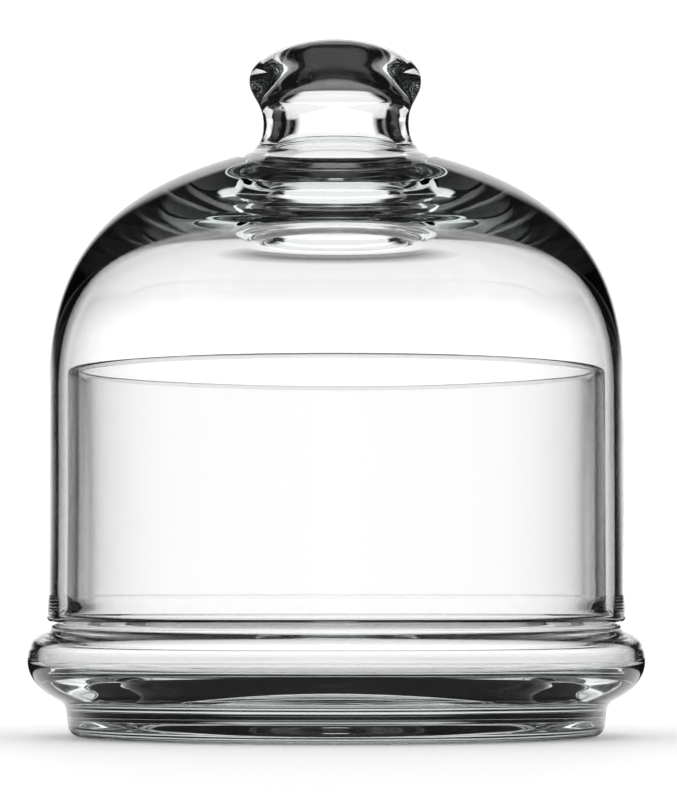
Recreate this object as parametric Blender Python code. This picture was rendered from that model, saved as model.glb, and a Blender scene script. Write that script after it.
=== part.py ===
"""A clear glass cheese dome: a footed dish, and the lift-off cover that stands on the dish's bead.

Both pieces are turned about +Z. The origin is the centre of the foot, on the table.
"""

import math

import bpy
from mathutils import Vector
from mathutils.geometry import interpolate_bezier

MM = 0.001

# Every size below is in millimetres. R is a radius and Z is a height above the table.
TURN_STEPS = 72
WALL = 1.9

# Cover: knob, neck, shoulder, upright wall and lip
TOP_Z = 132.7
KNOB_R, KNOB_Z = 16.62, 124.75
NECK_R, NECK_Z = 14.04, 116.4
SHOULDER_R, SHOULDER_Z = 20.13, 109.5
SHOULDER_SLOPE, SHOULDER_REACH = 0.30, 25.9
COVER_R = 54.75
SHOULDER_TURN_Z = 89.65
COVER_WALL_TOP_Z, COVER_WALL_FOOT_Z = 66.0, 26.0
LIP_R, LIP_Z, LIP_ROUND = 54.95, 21.4, 1.15

# Hollow up the cover's neck: the thick crown it opens from, its mouth, its waist, and its domed roof
CROWN_R, CROWN_Z = 19.0, 99.1
MOUTH_R, MOUTH_Z = 13.2, 104.0
HOLLOW_R, HOLLOW_Z = 9.6, 116.4
ROOF_R, ROOF_Z, HOLLOW_TOP_Z = 11.0, 121.8, 128.0

# Dish: foot, bead, seat for the lip, and upright wall
FOOT_R, FOOT_ROUND = 50.9, 2.3
RING_R = 43.0
RECESS_R, RECESS_Z, PUNT_Z = 38.0, 3.4, 4.0
WAIST_R, WAIST_Z = 52.9, 7.0
BEAD_R, BEAD_Z = 58.5, 14.4
SEAT_R, SEAT_Z = 53.8, 20.95
DISH_R, DISH_TOP_Z = 51.05, 69.2
FLOOR_Z = 10.5
TROUGH_R, TROUGH_Z = 51.5, 11.4

GLASS_COLOUR = (0.96, 0.98, 0.97, 1.0)
GLASS_IOR = 1.5


def bend(start, start_handle, end_handle, end, points):
    """A cubic curve through two ends, without its first point, so that stretches can follow each other."""
    knots = [Vector((r, z)) for r, z in (start, start_handle, end_handle, end)]
    return [tuple(p) for p in interpolate_bezier(*knots, points + 1)[1:]]


def arc(centre, radius, start_degrees, end_degrees, points):
    """Points on a round edge, both ends included."""
    turned = []
    for step in range(points):
        angle = math.radians(start_degrees + (end_degrees - start_degrees) * step / (points - 1))
        turned.append((centre[0] + radius * math.cos(angle), centre[1] + radius * math.sin(angle)))
    return turned


def shoulder_point(distance):
    """A point on the shoulder's tangent line, at a distance outwards and down from the shoulder's root."""
    tilt = math.atan(SHOULDER_SLOPE)
    return (SHOULDER_R + distance * math.cos(tilt), SHOULDER_Z - distance * math.sin(tilt))


def cover_outside():
    """From the knob's top on the axis down to the lip."""
    root = (SHOULDER_R, SHOULDER_Z)
    wall_top = (COVER_R, COVER_WALL_TOP_Z)
    line = [(0.0, TOP_Z)]
    line += bend(line[-1], (5.65, TOP_Z), (KNOB_R, KNOB_Z + 5.3), (KNOB_R, KNOB_Z), 7)
    line += bend(line[-1], (KNOB_R, KNOB_Z - 3.4), (NECK_R, NECK_Z + 4.3), (NECK_R, NECK_Z), 5)
    line += bend(line[-1], (NECK_R, NECK_Z - 5.6), shoulder_point(-2.27), root, 5)
    line += bend(root, shoulder_point(SHOULDER_REACH), (COVER_R, SHOULDER_TURN_Z), wall_top, 10)
    line += [(COVER_R, COVER_WALL_FOOT_Z)]
    line += arc((LIP_R - LIP_ROUND, LIP_Z + LIP_ROUND), LIP_ROUND, 15, -90, 5)
    return line


def cover_inside():
    """From the lip up to the roof of the hollow in the knob, on the axis."""
    wall_r = COVER_R - WALL
    crown = (CROWN_R, CROWN_Z)
    mouth = (MOUTH_R, MOUTH_Z)
    waist = (HOLLOW_R, HOLLOW_Z)
    roof = (ROOF_R, ROOF_Z)
    top = (0.0, HOLLOW_TOP_Z)
    line = arc((LIP_R - LIP_ROUND, LIP_Z + LIP_ROUND), LIP_ROUND, -125, -180, 3)
    line += [(wall_r, COVER_WALL_FOOT_Z), (wall_r, COVER_WALL_TOP_Z)]
    line += bend(line[-1], (wall_r, 91.1), (39.1, 98.6), crown, 10)
    line += bend(crown, (MOUTH_R + 0.9, CROWN_Z), (MOUTH_R + 0.1, CROWN_Z + 1.3), mouth, 5)
    line += bend(mouth, (MOUTH_R - 0.6, MOUTH_Z + 4.5), (HOLLOW_R, HOLLOW_Z - 5.4), waist, 5)
    line += bend(waist, (HOLLOW_R, HOLLOW_Z + 2.6), (ROOF_R, ROOF_Z - 2.0), roof, 4)
    line += bend(roof, (ROOF_R, ROOF_Z + 3.8), (ROOF_R * 0.62, HOLLOW_TOP_Z), top, 6)
    return line


def dish_outside():
    """From the middle of the underside, round the foot and the bead, up to the rim."""
    line = [(0.0, PUNT_Z)]
    line += bend(line[-1], (19.0, PUNT_Z), (30.0, RECESS_Z), (RECESS_R, RECESS_Z), 3)
    line += bend(line[-1], (RECESS_R + 2.0, RECESS_Z), (RING_R - 2.0, 0.0), (RING_R, 0.0), 5)
    line += arc((FOOT_R - FOOT_ROUND, FOOT_ROUND), FOOT_ROUND, -90, 0, 5)
    line += bend(line[-1], (FOOT_R, WAIST_Z - 1.6), (FOOT_R + 0.5, WAIST_Z - 0.7), (WAIST_R, WAIST_Z), 4)
    line += bend(line[-1], (WAIST_R + 2.7, 8.5), (BEAD_R, BEAD_Z - 3.8), (BEAD_R, BEAD_Z), 6)
    line += bend(line[-1], (BEAD_R, BEAD_Z + 3.8), (SEAT_R + 2.4, 19.9), (SEAT_R, SEAT_Z), 6)
    line += bend(line[-1], (SEAT_R - 1.9, 21.7), (DISH_R, 22.2), (DISH_R, 24.0), 4)
    line += arc((DISH_R - WALL / 2, DISH_TOP_Z - WALL / 2), WALL / 2, 0, 90, 3)
    return line


def dish_inside():
    """From the rim down the wall, out into the bead and over the floor to the axis."""
    wall_r = DISH_R - WALL
    bead_r = BEAD_R - WALL
    line = arc((DISH_R - WALL / 2, DISH_TOP_Z - WALL / 2), WALL / 2, 135, 180, 2)
    line += [(wall_r, 26.0)]
    line += bend(line[-1], (wall_r, 21.5), (52.2, 19.6), (54.0, 18.5), 5)
    line += bend(line[-1], (bead_r, 17.2), (bead_r, 15.8), (bead_r, BEAD_Z), 4)
    line += bend(line[-1], (bead_r, 12.0), (TROUGH_R + 2.5, TROUGH_Z + 0.4), (TROUGH_R, TROUGH_Z), 5)
    line += bend(line[-1], (49.0, 11.0), (46.0, FLOOR_Z), (40.0, FLOOR_Z), 4)
    line += [(0.0, FLOOR_Z)]
    return line


def clear_glass(name):
    material = bpy.data.materials.new(name)
    material.use_nodes = True
    shader = material.node_tree.nodes["Principled BSDF"]
    shader.inputs["Base Color"].default_value = GLASS_COLOUR
    shader.inputs["Transmission Weight"].default_value = 1.0
    shader.inputs["Roughness"].default_value = 0.02
    shader.inputs["Metallic"].default_value = 0.0
    shader.inputs["IOR"].default_value = GLASS_IOR
    return material


def turned_piece(name, outline, material):
    """A closed outline, from the axis back to the axis, turned once about +Z by a Screw modifier."""
    points = [(r * MM, 0.0, z * MM) for r, z in outline]
    edges = [(i, i + 1) for i in range(len(points) - 1)]
    mesh = bpy.data.meshes.new(name)
    mesh.from_pydata(points, edges, [])
    mesh.materials.append(material)
    piece = bpy.data.objects.new(name, mesh)
    bpy.context.scene.collection.objects.link(piece)
    turn = piece.modifiers.new("Turn", "SCREW")
    turn.axis = "Z"
    turn.angle = 2.0 * math.pi
    turn.steps = TURN_STEPS
    turn.render_steps = TURN_STEPS
    turn.use_merge_vertices = True
    turn.merge_threshold = 0.01 * MM
    turn.use_smooth_shade = True
    return piece


def glass_cover():
    outline = cover_outside() + cover_inside()
    return turned_piece("glass_dome", outline, clear_glass("dome_glass"))


def glass_dish():
    outline = list(reversed(dish_outside() + dish_inside()))
    return turned_piece("glass_base", outline, clear_glass("base_glass"))


def clear_scene():
    for old in list(bpy.data.objects):
        bpy.data.objects.remove(old)


clear_scene()
stand = bpy.data.objects.new("cheese_dome", None)
bpy.context.scene.collection.objects.link(stand)
for glass in (glass_dish(), glass_cover()):
    glass.parent = stand
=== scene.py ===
import math
import bpy
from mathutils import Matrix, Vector
from mathutils.geometry import interpolate_bezier


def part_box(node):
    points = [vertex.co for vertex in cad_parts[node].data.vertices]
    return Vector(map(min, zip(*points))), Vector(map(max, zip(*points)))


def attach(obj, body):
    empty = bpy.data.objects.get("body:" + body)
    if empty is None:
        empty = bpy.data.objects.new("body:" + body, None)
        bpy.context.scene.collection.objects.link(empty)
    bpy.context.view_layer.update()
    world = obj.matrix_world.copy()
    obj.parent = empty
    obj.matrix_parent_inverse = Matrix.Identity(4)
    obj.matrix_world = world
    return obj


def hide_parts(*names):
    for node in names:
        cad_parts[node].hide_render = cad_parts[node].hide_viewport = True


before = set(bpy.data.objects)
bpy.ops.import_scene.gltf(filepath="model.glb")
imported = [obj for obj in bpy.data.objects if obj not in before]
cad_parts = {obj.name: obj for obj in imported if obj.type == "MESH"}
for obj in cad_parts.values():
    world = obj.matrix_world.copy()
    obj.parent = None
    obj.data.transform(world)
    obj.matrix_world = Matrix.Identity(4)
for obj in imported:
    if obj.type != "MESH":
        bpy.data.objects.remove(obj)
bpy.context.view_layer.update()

mm = 0.001
scene = bpy.context.scene
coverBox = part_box("glass_dome")
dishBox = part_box("glass_base")


def inMillimetres(length):
    return round(length / mm, 2)


# outline helpers: an outline is a list of (radius, height) pairs in millimetres

def bend(start, startHandle, endHandle, end, points):
    # a cubic curve without its first point, so that stretches can follow each other
    knots = [Vector((r, z)) for r, z in (start, startHandle, endHandle, end)]
    return [tuple(p) for p in interpolate_bezier(*knots, points + 1)[1:]]


def arc(centre, radius, startDegrees, endDegrees, points):
    turned = []
    for step in range(points):
        angle = math.radians(startDegrees + (endDegrees - startDegrees) * step / (points - 1))
        turned.append((centre[0] + radius * math.cos(angle), centre[1] + radius * math.sin(angle)))
    return turned


def upright(radius, startHeight, endHeight, points):
    # a straight wall, its points closer together at both ends, so that the shading stays flat
    rise = endHeight - startHeight
    shares = [(1.0 - math.cos(math.pi * (step + 1) / points)) / 2.0 for step in range(points)]
    return [(radius, startHeight + rise * share) for share in shares]


# node helpers

def addNode(tree, kind, **settings):
    node = tree.nodes.new(kind)
    for name, value in settings.items():
        setattr(node, name, value)
    return node


def reckon(tree, operation, first, second=None, third=None):
    # one Math node, whose inputs are sockets or plain numbers
    node = addNode(tree, "ShaderNodeMath", operation=operation)
    for place, value in enumerate((first, second, third)):
        if value is None:
            continue
        if isinstance(value, bpy.types.NodeSocket):
            tree.links.new(value, node.inputs[place])
        else:
            node.inputs[place].default_value = value
    return node.outputs[0]


def ramp(tree, value, low, high, toLow=0.0, toHigh=1.0, smooth=True):
    node = addNode(tree, "ShaderNodeMapRange", interpolation_type="SMOOTHSTEP" if smooth else "LINEAR")
    tree.links.new(value, node.inputs["Value"])
    for socket, number in (("From Min", low), ("From Max", high), ("To Min", toLow), ("To Max", toHigh)):
        node.inputs[socket].default_value = number
    return node.outputs["Result"]


# turning: the outline's points are turned round Z, then given the small faults of hand work

def turningTree():
    tree = bpy.data.node_groups.new("Turned glass", "GeometryNodeTree")
    wanted = [
        ("Outline", "NodeSocketGeometry", None),
        ("Steps round", "NodeSocketInt", 256),
        ("Waver", "NodeSocketFloat", 0.0),
        ("Waver size", "NodeSocketFloat", 20.0),
        ("Seed", "NodeSocketFloat", 0.0),
        ("Lean", "NodeSocketVector", (0.0, 0.0, 0.0)),
        ("Lean from", "NodeSocketFloat", 0.0),
        ("Lean full", "NodeSocketFloat", 1.0),
        ("Glass", "NodeSocketMaterial", None),
    ]
    for name, kind, value in wanted:
        socket = tree.interface.new_socket(name=name, in_out="INPUT", socket_type=kind)
        if value is not None:
            socket.default_value = value
    tree.interface.new_socket(name="Mesh", in_out="OUTPUT", socket_type="NodeSocketGeometry")
    given = addNode(tree, "NodeGroupInput").outputs
    link = tree.links.new

    # one column of a grid for each point of the outline, one row for each step round
    count = addNode(tree, "GeometryNodeAttributeDomainSize", component="MESH")
    link(given["Outline"], count.inputs["Geometry"])
    rows = reckon(tree, "ADD", given["Steps round"], 1.0)
    grid = addNode(tree, "GeometryNodeMeshGrid")
    link(count.outputs["Point Count"], grid.inputs["Vertices X"])
    link(rows, grid.inputs["Vertices Y"])
    index = addNode(tree, "GeometryNodeInputIndex").outputs[0]
    column = reckon(tree, "FLOOR", reckon(tree, "DIVIDE", reckon(tree, "ADD", index, 0.5), rows))
    row = reckon(tree, "SUBTRACT", index, reckon(tree, "MULTIPLY", column, rows))
    angle = reckon(tree, "DIVIDE", reckon(tree, "MULTIPLY", row, 2.0 * math.pi), given["Steps round"])

    outlinePoint = addNode(tree, "GeometryNodeSampleIndex", data_type="FLOAT_VECTOR", domain="POINT")
    link(given["Outline"], outlinePoint.inputs["Geometry"])
    link(addNode(tree, "GeometryNodeInputPosition").outputs[0], outlinePoint.inputs["Value"])
    link(column, outlinePoint.inputs["Index"])
    split = addNode(tree, "ShaderNodeSeparateXYZ")
    link(outlinePoint.outputs["Value"], split.inputs[0])
    turned = addNode(tree, "ShaderNodeCombineXYZ")
    link(reckon(tree, "MULTIPLY", split.outputs["X"], reckon(tree, "COSINE", angle)), turned.inputs["X"])
    link(reckon(tree, "MULTIPLY", split.outputs["X"], reckon(tree, "SINE", angle)), turned.inputs["Y"])
    link(split.outputs["Z"], turned.inputs["Z"])
    place = addNode(tree, "GeometryNodeSetPosition")
    link(grid.outputs["Mesh"], place.inputs["Geometry"])
    link(turned.outputs[0], place.inputs["Position"])
    join = addNode(tree, "GeometryNodeMergeByDistance")
    link(place.outputs[0], join.inputs["Geometry"])
    join.inputs["Distance"].default_value = 0.001 * mm

    # hand work: the radius draws in here and there, never out
    position = addNode(tree, "GeometryNodeInputPosition").outputs[0]
    noise = addNode(tree, "ShaderNodeTexNoise", noise_dimensions="4D")
    link(position, noise.inputs["Vector"])
    link(given["Seed"], noise.inputs["W"])
    link(given["Waver size"], noise.inputs["Scale"])
    noise.inputs["Detail"].default_value = 0.0
    drawnIn = reckon(tree, "MULTIPLY", ramp(tree, noise.outputs["Fac"], 0.25, 0.75), given["Waver"])
    where = addNode(tree, "ShaderNodeSeparateXYZ")
    link(position, where.inputs[0])
    acrossSquared = reckon(tree, "MULTIPLY", where.outputs["X"], where.outputs["X"])
    alongSquared = reckon(tree, "MULTIPLY", where.outputs["Y"], where.outputs["Y"])
    radius = reckon(tree, "SQRT", reckon(tree, "ADD", acrossSquared, alongSquared))
    share = reckon(tree, "DIVIDE", drawnIn, reckon(tree, "MAXIMUM", radius, 2.0 * mm))
    inward = addNode(tree, "ShaderNodeCombineXYZ")
    back = reckon(tree, "MULTIPLY", share, -1.0)
    link(reckon(tree, "MULTIPLY", where.outputs["X"], back), inward.inputs["X"])
    link(reckon(tree, "MULTIPLY", where.outputs["Y"], back), inward.inputs["Y"])

    # lean: what stands above one height moves over, all of it from another height
    leaning = addNode(tree, "ShaderNodeMapRange", interpolation_type="SMOOTHSTEP")
    link(where.outputs["Z"], leaning.inputs["Value"])
    link(given["Lean from"], leaning.inputs["From Min"])
    link(given["Lean full"], leaning.inputs["From Max"])
    lean = addNode(tree, "ShaderNodeVectorMath", operation="SCALE")
    link(given["Lean"], lean.inputs[0])
    link(leaning.outputs["Result"], lean.inputs["Scale"])
    both = addNode(tree, "ShaderNodeVectorMath", operation="ADD")
    link(inward.outputs[0], both.inputs[0])
    link(lean.outputs[0], both.inputs[1])
    shape = addNode(tree, "GeometryNodeSetPosition")
    link(join.outputs[0], shape.inputs["Geometry"])
    link(both.outputs[0], shape.inputs["Offset"])

    smooth = addNode(tree, "GeometryNodeSetShadeSmooth")
    real = addNode(tree, "GeometryNodeRealizeInstances")
    coat = addNode(tree, "GeometryNodeSetMaterial")
    link(shape.outputs[0], smooth.inputs["Geometry"])
    link(smooth.outputs[0], real.inputs[0])
    link(real.outputs[0], coat.inputs["Geometry"])
    link(given["Glass"], coat.inputs["Material"])
    link(coat.outputs[0], addNode(tree, "NodeGroupOutput").inputs[0])
    return tree


def turnedPiece(name, outline, tree, settings):
    # the outline becomes a line of edges, the node tree turns it, and the result is kept as a plain mesh
    points = [(r * mm, 0.0, z * mm) for r, z in outline]
    line = bpy.data.meshes.new(name + "Outline")
    line.from_pydata(points, [(i, i + 1) for i in range(len(points) - 1)], [])
    maker = bpy.data.objects.new(name + "Maker", line)
    scene.collection.objects.link(maker)
    turning = maker.modifiers.new("Turn", "NODES")
    turning.node_group = tree
    sockets = {item.name: item.identifier for item in tree.interface.items_tree if item.in_out == "INPUT"}
    for socketName, value in settings.items():
        turning[sockets[socketName]] = value
    made = maker.evaluated_get(bpy.context.evaluated_depsgraph_get())
    mesh = bpy.data.meshes.new_from_object(made)
    mesh.name = name
    mesh.materials.pop(index=0)  # the maker's own empty slot
    maker.modifiers.remove(turning)
    bpy.data.objects.remove(maker)
    piece = bpy.data.objects.new(name, mesh)
    scene.collection.objects.link(piece)
    print(f"{name}: {len(outline)} outline points, {len(mesh.polygons)} faces")
    return piece


# glass

glassLook = {
    "ior": 1.5,
    "tint": (0.80, 0.88, 0.84, 1.0),  # what a long way through the glass keeps
    "tintDepth": 8.0,                 # per metre
    "polish": 0.0,
    "scuff": 0.10,                    # roughness in a scratch
    "scratchTilt": (0.4, 0.9, 0.6),
    "scratchScale": (22.0, 900.0, 900.0),
    "scratchShare": (0.72, 0.80),     # only the noise's peaks are scratches
    "waveScale": 42.0,
    "waveHeight": 0.02 * mm,
}


def clearGlass(name, look, seed):
    material = bpy.data.materials.new(name)
    material.use_nodes = True
    tree = material.node_tree
    shader = tree.nodes["Principled BSDF"]
    shader.inputs["Base Color"].default_value = (1.0, 1.0, 1.0, 1.0)
    shader.inputs["Transmission Weight"].default_value = 1.0
    shader.inputs["IOR"].default_value = look["ior"]
    coords = addNode(tree, "ShaderNodeTexCoord").outputs["Object"]

    # fine scratches from handling: long thin streaks of a stretched noise
    turn = addNode(tree, "ShaderNodeMapping")
    tiltX, tiltY, tiltZ = look["scratchTilt"]
    turn.inputs["Rotation"].default_value = (tiltX, tiltY, tiltZ + seed)
    turn.inputs["Scale"].default_value = look["scratchScale"]
    tree.links.new(coords, turn.inputs["Vector"])
    streak = addNode(tree, "ShaderNodeTexNoise")
    streak.inputs["Scale"].default_value = 1.0
    streak.inputs["Detail"].default_value = 1.0
    tree.links.new(turn.outputs[0], streak.inputs["Vector"])
    scratch = ramp(tree, streak.outputs["Fac"], *look["scratchShare"])
    roughness = reckon(tree, "MULTIPLY_ADD", scratch, look["scuff"], look["polish"])
    tree.links.new(roughness, shader.inputs["Roughness"])

    # slow waves left by the hot glass
    swell = addNode(tree, "ShaderNodeTexNoise", noise_dimensions="4D")
    swell.inputs["W"].default_value = seed
    swell.inputs["Scale"].default_value = look["waveScale"]
    swell.inputs["Detail"].default_value = 1.5
    tree.links.new(coords, swell.inputs["Vector"])
    bump = addNode(tree, "ShaderNodeBump")
    bump.inputs["Strength"].default_value = 1.0
    bump.inputs["Distance"].default_value = look["waveHeight"]
    tree.links.new(swell.outputs["Fac"], bump.inputs["Height"])
    tree.links.new(bump.outputs[0], shader.inputs["Normal"])

    body = addNode(tree, "ShaderNodeVolumeAbsorption")
    body.inputs["Color"].default_value = look["tint"]
    body.inputs["Density"].default_value = look["tintDepth"]
    tree.links.new(body.outputs[0], tree.nodes["Material Output"].inputs["Volume"])
    return material


# cover: knob, hollow neck, shoulder, wall and lip in one blown piece

cover = {
    "steps": 288,
    "wall": 1.9,
    "waver": 0.12 * mm, "waverScale": 28.0,
    "topZ": inMillimetres(coverBox[1].z),
    "capFlat": 5.65,                        # how far the knob's top stays flat
    "knobR": 16.62, "knobZ": 124.75,
    "knobAbove": 5.3, "knobBelow": 3.4,     # how full the knob is over and under its widest place
    "neckR": 14.04, "neckZ": 116.4,
    "neckAbove": 4.3, "neckBelow": 5.6,
    "rootR": 20.13, "rootZ": 109.5,         # where the neck runs out into the shoulder
    "rootBack": -2.27,
    "shoulderSlope": 0.30, "shoulderReach": 25.9, "shoulderTurnZ": 89.65,
    "bodyR": 54.75,
    "wallTopZ": 66.0, "wallFootZ": 26.0,
    "lipR": 54.95, "lipZ": inMillimetres(coverBox[0].z), "lipRound": 1.15,
    "insideTurnZ": 91.1,
    "insideR": 39.1, "insideZ": 98.6,       # where the inside levels out under the shoulder
    "crownR": 19.0, "crownZ": 99.1,         # the thick crown that the hollow opens from
    "mouthR": 13.2, "mouthZ": 104.0, "mouthFlare": 4.5,
    "hollowR": 9.6, "hollowZ": 116.4,
    "hollowBelow": 5.4, "hollowAbove": 2.6,
    "roofR": 11.0, "roofZ": 121.8, "hollowTopZ": 128.0,
    "roofBelow": 2.0, "roofFull": 3.8, "roofFlat": 0.62,
}


def shoulderPoint(distance):
    tilt = math.atan(cover["shoulderSlope"])
    return (cover["rootR"] + distance * math.cos(tilt), cover["rootZ"] - distance * math.sin(tilt))


def coverOutside():
    # from the knob's top to the lip
    c = cover
    knob = (c["knobR"], c["knobZ"])
    neck = (c["neckR"], c["neckZ"])
    root = (c["rootR"], c["rootZ"])
    line = [(0.0, c["topZ"])]
    line += bend(line[-1], (c["capFlat"], c["topZ"]), (knob[0], knob[1] + c["knobAbove"]), knob, 28)
    line += bend(knob, (knob[0], knob[1] - c["knobBelow"]), (neck[0], neck[1] + c["neckAbove"]), neck, 18)
    line += bend(neck, (neck[0], neck[1] - c["neckBelow"]), shoulderPoint(c["rootBack"]), root, 16)
    wallTop = (c["bodyR"], c["wallTopZ"])
    line += bend(root, shoulderPoint(c["shoulderReach"]), (c["bodyR"], c["shoulderTurnZ"]), wallTop, 44)
    line += upright(c["bodyR"], c["wallTopZ"], c["wallFootZ"], 14)
    line += arc((c["lipR"] - c["lipRound"], c["lipZ"] + c["lipRound"]), c["lipRound"], 15, -90, 10)
    return line


def coverInside():
    # from the lip to the roof of the hollow
    c = cover
    wallR = c["bodyR"] - c["wall"]
    crown = (c["crownR"], c["crownZ"])
    mouth = (c["mouthR"], c["mouthZ"])
    waist = (c["hollowR"], c["hollowZ"])
    roof = (c["roofR"], c["roofZ"])
    line = arc((c["lipR"] - c["lipRound"], c["lipZ"] + c["lipRound"]), c["lipRound"], -100, -180, 8)
    line += [(wallR, c["wallFootZ"])]
    line += upright(wallR, c["wallFootZ"], c["wallTopZ"], 14)
    line += bend(line[-1], (wallR, c["insideTurnZ"]), (c["insideR"], c["insideZ"]), crown, 44)
    line += bend(crown, (c["mouthR"] + 0.9, c["crownZ"]), (c["mouthR"] + 0.1, c["crownZ"] + 1.3), mouth, 16)
    top = (0.0, c["hollowTopZ"])
    flare = (mouth[0] - 0.6, mouth[1] + c["mouthFlare"])
    line += bend(mouth, flare, (waist[0], waist[1] - c["hollowBelow"]), waist, 20)
    underRoof = (roof[0], roof[1] - c["roofBelow"])
    line += bend(waist, (waist[0], waist[1] + c["hollowAbove"]), underRoof, roof, 12)
    line += bend(roof, (roof[0], roof[1] + c["roofFull"]), (roof[0] * c["roofFlat"], top[1]), top, 24)
    return line


# dish: foot, floor, hollow bead, seat for the cover's lip, and upright wall

dish = {
    "steps": 288,
    "wall": 1.9,
    "waver": 0.12 * mm, "waverScale": 28.0,
    "footR": 50.9, "footRound": 2.3,
    "ringR": 43.0,
    "recessR": 38.0, "recessZ": 3.4, "puntZ": 4.0,
    "waistR": 52.9, "waistZ": 7.0,
    "beadR": inMillimetres(dishBox[1].x), "beadZ": 14.4,
    "seatR": 53.8, "seatZ": 20.95,
    "bodyR": 51.05, "rimZ": inMillimetres(dishBox[1].z),
    "wallFootZ": 24.0, "wallFootInsideZ": 26.0,
    "shelfR": 54.0, "shelfZ": 18.5,         # inside, under the seat
    "floorZ": 10.5, "floorR": 40.0,
    "troughR": 51.5, "troughZ": 11.4,
}


def dishOutside():
    # from the middle of the underside to the rim
    d = dish
    recess = (d["recessR"], d["recessZ"])
    foot = (d["footR"], d["footRound"])
    waist = (d["waistR"], d["waistZ"])
    bead = (d["beadR"], d["beadZ"])
    seat = (d["seatR"], d["seatZ"])
    rimRound = d["wall"] / 2
    line = [(0.0, d["puntZ"])]
    line += bend(line[-1], (19.0, d["puntZ"]), (30.0, recess[1]), recess, 12)
    line += bend(recess, (recess[0] + 0.6, recess[1]), (d["ringR"] - 0.6, 0.0), (d["ringR"], 0.0), 14)
    line += arc((foot[0] - d["footRound"], foot[1]), d["footRound"], -90, 0, 12)
    line += bend(foot, (foot[0], waist[1] - 1.6), (foot[0] + 0.5, waist[1] - 0.7), waist, 12)
    line += bend(waist, (waist[0] + 2.7, 8.5), (bead[0], bead[1] - 3.8), bead, 20)
    line += bend(bead, (bead[0], bead[1] + 3.8), (seat[0] + 2.4, 19.9), seat, 20)
    wallFoot = (d["bodyR"], d["wallFootZ"])
    line += bend(seat, (seat[0] - 1.9, seat[1] + 0.75), (wallFoot[0], wallFoot[1] - 1.8), wallFoot, 10)
    line += upright(d["bodyR"], wallFoot[1], d["rimZ"] - rimRound, 16)
    line += arc((d["bodyR"] - rimRound, d["rimZ"] - rimRound), rimRound, 12, 90, 8)
    return line


def dishInside():
    # from the rim to the middle of the floor
    d = dish
    wallR = d["bodyR"] - d["wall"]
    beadR = d["beadR"] - d["wall"]
    rimRound = d["wall"] / 2
    trough = (d["troughR"], d["troughZ"])
    line = arc((d["bodyR"] - rimRound, d["rimZ"] - rimRound), rimRound, 102, 180, 8)
    line += upright(wallR, line[-1][1], d["wallFootInsideZ"], 16)
    shelf = (d["shelfR"], d["shelfZ"])
    line += bend(line[-1], (wallR, d["wallFootInsideZ"] - 4.5), (shelf[0] - 1.8, shelf[1] + 1.1), shelf, 14)
    line += bend(line[-1], (beadR, 17.2), (beadR, 15.8), (beadR, d["beadZ"]), 12)
    line += bend(line[-1], (beadR, 12.0), (trough[0] + 2.5, trough[1] + 0.4), trough, 14)
    line += bend(trough, (49.0, 11.0), (46.0, d["floorZ"]), (d["floorR"], d["floorZ"]), 12)
    # the first two points close to the bend keep the flat floor's shading flat
    line += [(r, d["floorZ"]) for r in (39.6, 38.0, 32.0, 24.0, 16.0, 8.0, 0.0)]
    return line


turning = turningTree()
coverGlass = turnedPiece("coverGlass", coverOutside() + coverInside(), turning, {
    "Steps round": cover["steps"],
    "Waver": cover["waver"],
    "Waver size": cover["waverScale"],
    "Seed": 3.0,
    "Lean": (-0.25 * mm, 0.0, 0.0),
    "Lean from": 112.0 * mm,
    "Lean full": 126.0 * mm,
    "Glass": clearGlass("coverClearGlass", glassLook, 1.3),
})
dishGlass = turnedPiece("dishGlass", list(reversed(dishOutside() + dishInside())), turning, {
    "Steps round": dish["steps"],
    "Waver": dish["waver"],
    "Waver size": dish["waverScale"],
    "Seed": 8.0,
    "Lean": (0.0, 0.0, 0.0),
    "Lean from": 0.0,
    "Lean full": 1.0,
    "Glass": clearGlass("dishClearGlass", glassLook, 4.1),
})
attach(coverGlass, "dome")
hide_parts("glass_dome")
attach(dishGlass, "base")
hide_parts("glass_base")


# studio: a pale floor, and a lit backcloth in dark surroundings, which draws the dark edges of clear glass

floorLook = {
    "radius": 4.0,
    "sides": 96,
    "drop": 0.2 * mm,            # a hair under the foot
    "colour": (0.80, 0.80, 0.80, 1.0),
    "roughness": 0.6,
    "specular": 0.2,
    "paintedReflectionShadeTone": 0.012,       # painted shade: the dark tone that reflections in the glass find in place of the pale floor
    "sweepHalf": 0.05,           # the strip behind where they still find the pale floor, painted light standing in for the backcloth sweeping down
    "sweepSpread": 0.25,
    "sweepFrom": (0.08, 0.12),
    "nearFrom": (0.050, 0.054),  # and the ring close round the foot where they still find it, a painted pool of light, fainter in front
    "nearTo": (0.115, 0.135),
    "nearInFront": 0.15,
    "nearTurn": 0.02,
}


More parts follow.
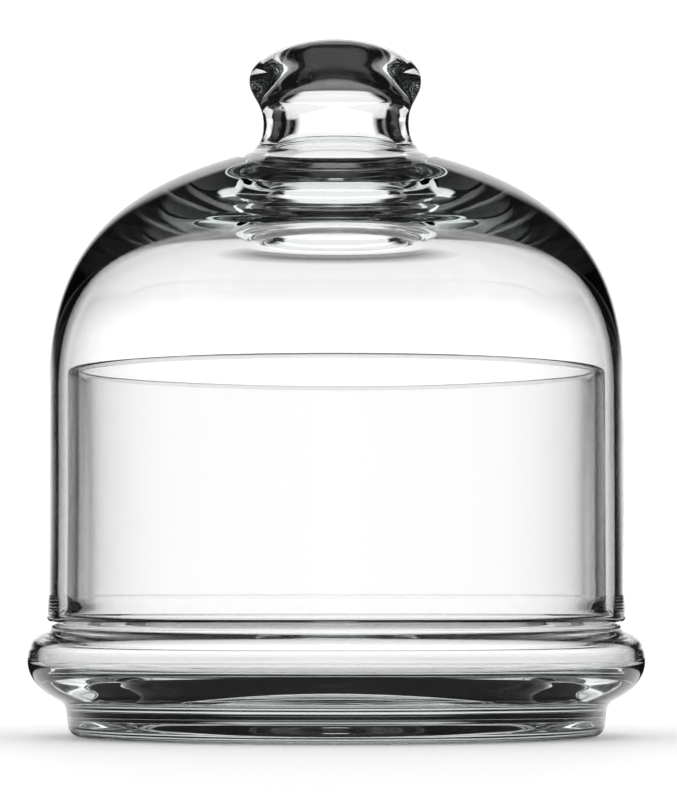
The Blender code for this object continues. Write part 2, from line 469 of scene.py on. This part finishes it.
def paleFloor():
    mesh = bpy.data.meshes.new("studioFloor")
    sides = floorLook["sides"]
    turns = [2 * math.pi * step / sides for step in range(sides)]
    radius = floorLook["radius"]
    rim = [(radius * math.cos(turn), radius * math.sin(turn), -floorLook["drop"]) for turn in turns]
    mesh.from_pydata(rim, [], [tuple(range(sides))])
    floor = bpy.data.objects.new("studioFloor", mesh)
    scene.collection.objects.link(floor)
    material = bpy.data.materials.new("paleFloorBoardWithPaintedReflectionShade")
    material.use_nodes = True
    tree = material.node_tree
    shader = tree.nodes["Principled BSDF"]
    shader.inputs["Base Color"].default_value = floorLook["colour"]
    shader.inputs["Roughness"].default_value = floorLook["roughness"]
    shader.inputs["Specular IOR Level"].default_value = floorLook["specular"]
    # painted shade: a faint glow that reflections in the glass find in place of the pale floor
    dim = addNode(tree, "ShaderNodeEmission")
    dim.inputs["Strength"].default_value = floorLook["paintedReflectionShadeTone"]
    place = addNode(tree, "ShaderNodeSeparateXYZ")
    tree.links.new(addNode(tree, "ShaderNodeTexCoord").outputs["Object"], place.inputs[0])
    # painted light: a strip behind and a ring round the foot, where reflections keep the pale floor
    aside = reckon(tree, "SUBTRACT", reckon(tree, "ABSOLUTE", place.outputs["X"]),
                   reckon(tree, "MULTIPLY", place.outputs["Y"], floorLook["sweepSpread"]))
    paintedLitSweep = reckon(tree, "MULTIPLY", ramp(tree, aside, 0.0, floorLook["sweepHalf"], 1.0, 0.0),
                     ramp(tree, place.outputs["Y"], *floorLook["sweepFrom"]))
    flat = addNode(tree, "ShaderNodeCombineXYZ")
    tree.links.new(place.outputs["X"], flat.inputs["X"])
    tree.links.new(place.outputs["Y"], flat.inputs["Y"])
    outwards = addNode(tree, "ShaderNodeVectorMath", operation="LENGTH")
    tree.links.new(flat.outputs[0], outwards.inputs[0])
    paintedLitRing = reckon(tree, "MULTIPLY", ramp(tree, outwards.outputs["Value"], *floorLook["nearFrom"]),
                      ramp(tree, outwards.outputs["Value"], *floorLook["nearTo"], 1.0, 0.0))
    nearTurn = floorLook["nearTurn"]
    behind = ramp(tree, place.outputs["Y"], -nearTurn, nearTurn, floorLook["nearInFront"], 1.0)
    paintedLitRing = reckon(tree, "MULTIPLY", paintedLitRing, behind)
    path = addNode(tree, "ShaderNodeLightPath").outputs
    # painted shade: reflections find the dark glow everywhere except the painted lit strip behind and the
    # ring round the foot
    paintedReflectionShadeShare = reckon(tree, "SUBTRACT", 1.0, reckon(tree, "MAXIMUM", paintedLitSweep, paintedLitRing))
    mirrored = reckon(tree, "MULTIPLY", paintedReflectionShadeShare, reckon(tree, "MINIMUM", path["Glossy Depth"], 1.0))
    either = addNode(tree, "ShaderNodeMixShader")
    tree.links.new(mirrored, either.inputs[0])
    tree.links.new(shader.outputs[0], either.inputs[1])
    tree.links.new(dim.outputs[0], either.inputs[2])
    tree.links.new(either.outputs[0], tree.nodes["Material Output"].inputs["Surface"])
    mesh.materials.append(material)
    print("floor: pale board, radius", radius, "m")


studio = {
    "backWidth": 17.0,     # degrees either side of straight behind
    "backSoft": 5.0,
    "backTones": ((-14.0, 1.36), (8.0, 1.36), (14.0, 1.08), (29.0, 0.98), (33.0, 0.02)),
    "roundTop": 3.0,       # the pale wall all round, seen straight through the glass
    "roundTone": 0.95,
    "roundSoft": 2.0,
    "solidTop": 5.0, "solidSoft": 4.0,
    # painted shade: how far the backcloth dims for rays through one solid stretch of glass, darkening the
    # knob
    "paintedSolidGlassShade": 0.85,
    "overheadFrom": (60.0, 75.0),
    "overheadTone": 0.015,
    "dark": 0.006,
    "tent": 1.5,           # what lights the floor
}


def studioWorld():
    world = bpy.data.worlds.new("Studio")
    scene.world = world
    world.use_nodes = True
    tree = world.node_tree
    background = tree.nodes["Background"]
    direction = addNode(tree, "ShaderNodeSeparateXYZ")
    tree.links.new(addNode(tree, "ShaderNodeTexCoord").outputs["Generated"], direction.inputs[0])
    toDegrees = 180.0 / math.pi
    height = reckon(tree, "MULTIPLY", reckon(tree, "ARCSINE", direction.outputs["Z"]), toDegrees)
    side = reckon(tree, "ABSOLUTE", direction.outputs["X"])
    turn = reckon(tree, "MULTIPLY", reckon(tree, "ARCTAN2", side, direction.outputs["Y"]), toDegrees)
    path = addNode(tree, "ShaderNodeLightPath").outputs
    mirrored = reckon(tree, "MINIMUM", path["Glossy Depth"], 1.0)

    # the lit backcloth: stretches of tone up its height
    tones = None
    backTones = studio["backTones"]
    for (low, lowTone), (high, highTone) in zip(backTones, backTones[1:]):
        change = ramp(tree, height, low, high, 0.0, highTone - lowTone, smooth=False)
        tones = reckon(tree, "ADD", change, backTones[0][1] if tones is None else tones)
    soft = studio["backSoft"]
    inBack = ramp(tree, turn, studio["backWidth"] - soft, studio["backWidth"] + soft, 1.0, 0.0)
    light = reckon(tree, "MULTIPLY", tones, inBack)
    # painted shade: rays that crossed one solid stretch of glass find the backcloth dimmed above a low
    # height, which darkens the solid knob
    solid = reckon(tree, "COMPARE", path["Transmission Depth"], 2.0, 0.5)
    above = ramp(tree, height, studio["solidTop"], studio["solidTop"] + studio["solidSoft"])
    paintedKnobShadeShare = reckon(tree, "MULTIPLY", reckon(tree, "MULTIPLY", solid, above), studio["paintedSolidGlassShade"])
    light = reckon(tree, "MULTIPLY", light, reckon(tree, "SUBTRACT", 1.0, paintedKnobShadeShare))

    # a low pale wall all round, which the reflections inside the glass don't find
    roundTop, roundSoft = studio["roundTop"], studio["roundSoft"]
    low = ramp(tree, height, roundTop - roundSoft, roundTop + roundSoft, studio["roundTone"], 0.0)
    roundLight = reckon(tree, "MULTIPLY", low, reckon(tree, "SUBTRACT", 1.0, mirrored))
    light = reckon(tree, "MAXIMUM", light, roundLight)
    overhead = ramp(tree, height, *studio["overheadFrom"], studio["dark"], studio["overheadTone"])
    light = reckon(tree, "MAXIMUM", light, overhead)

    # the floor is lit evenly from all round, and the camera sees plain white behind
    fromFloor = reckon(tree, "MINIMUM", path["Diffuse Depth"], 1.0)
    light = reckon(tree, "MAXIMUM", light, reckon(tree, "MULTIPLY", fromFloor, studio["tent"]))
    light = reckon(tree, "MAXIMUM", light, path["Is Camera Ray"])
    tree.links.new(light, background.inputs["Color"])
    print("studio: lit backcloth", 2 * studio["backWidth"], "degrees wide")


paleFloor()
studioWorld()

# camera, about level with the cover's lip
view = {
    "focal": 175.5,
    "sensor": 36.0,
    "distance": 0.741,
    "height": 22.2 * mm,
    "aside": 0.38 * mm,
    "lookUp": 3.2,         # degrees
    "nearest": 0.01,
}
eye = bpy.data.cameras.new("viewCamera")
eye.lens = view["focal"]
eye.sensor_width = view["sensor"]
eye.clip_start = view["nearest"]
camera = bpy.data.objects.new("viewCamera", eye)
camera.location = (view["aside"], -view["distance"], view["height"])
camera.rotation_euler = (math.radians(90.0 + view["lookUp"]), 0.0, 0.0)
scene.collection.objects.link(camera)
scene.camera = camera
print("camera:", view["focal"], "mm lens at", view["distance"], "m")
scene.view_settings.view_transform = "Standard"
scene.cycles.max_bounces = 24
scene.cycles.transmission_bounces = 24
scene.cycles.glossy_bounces = 16
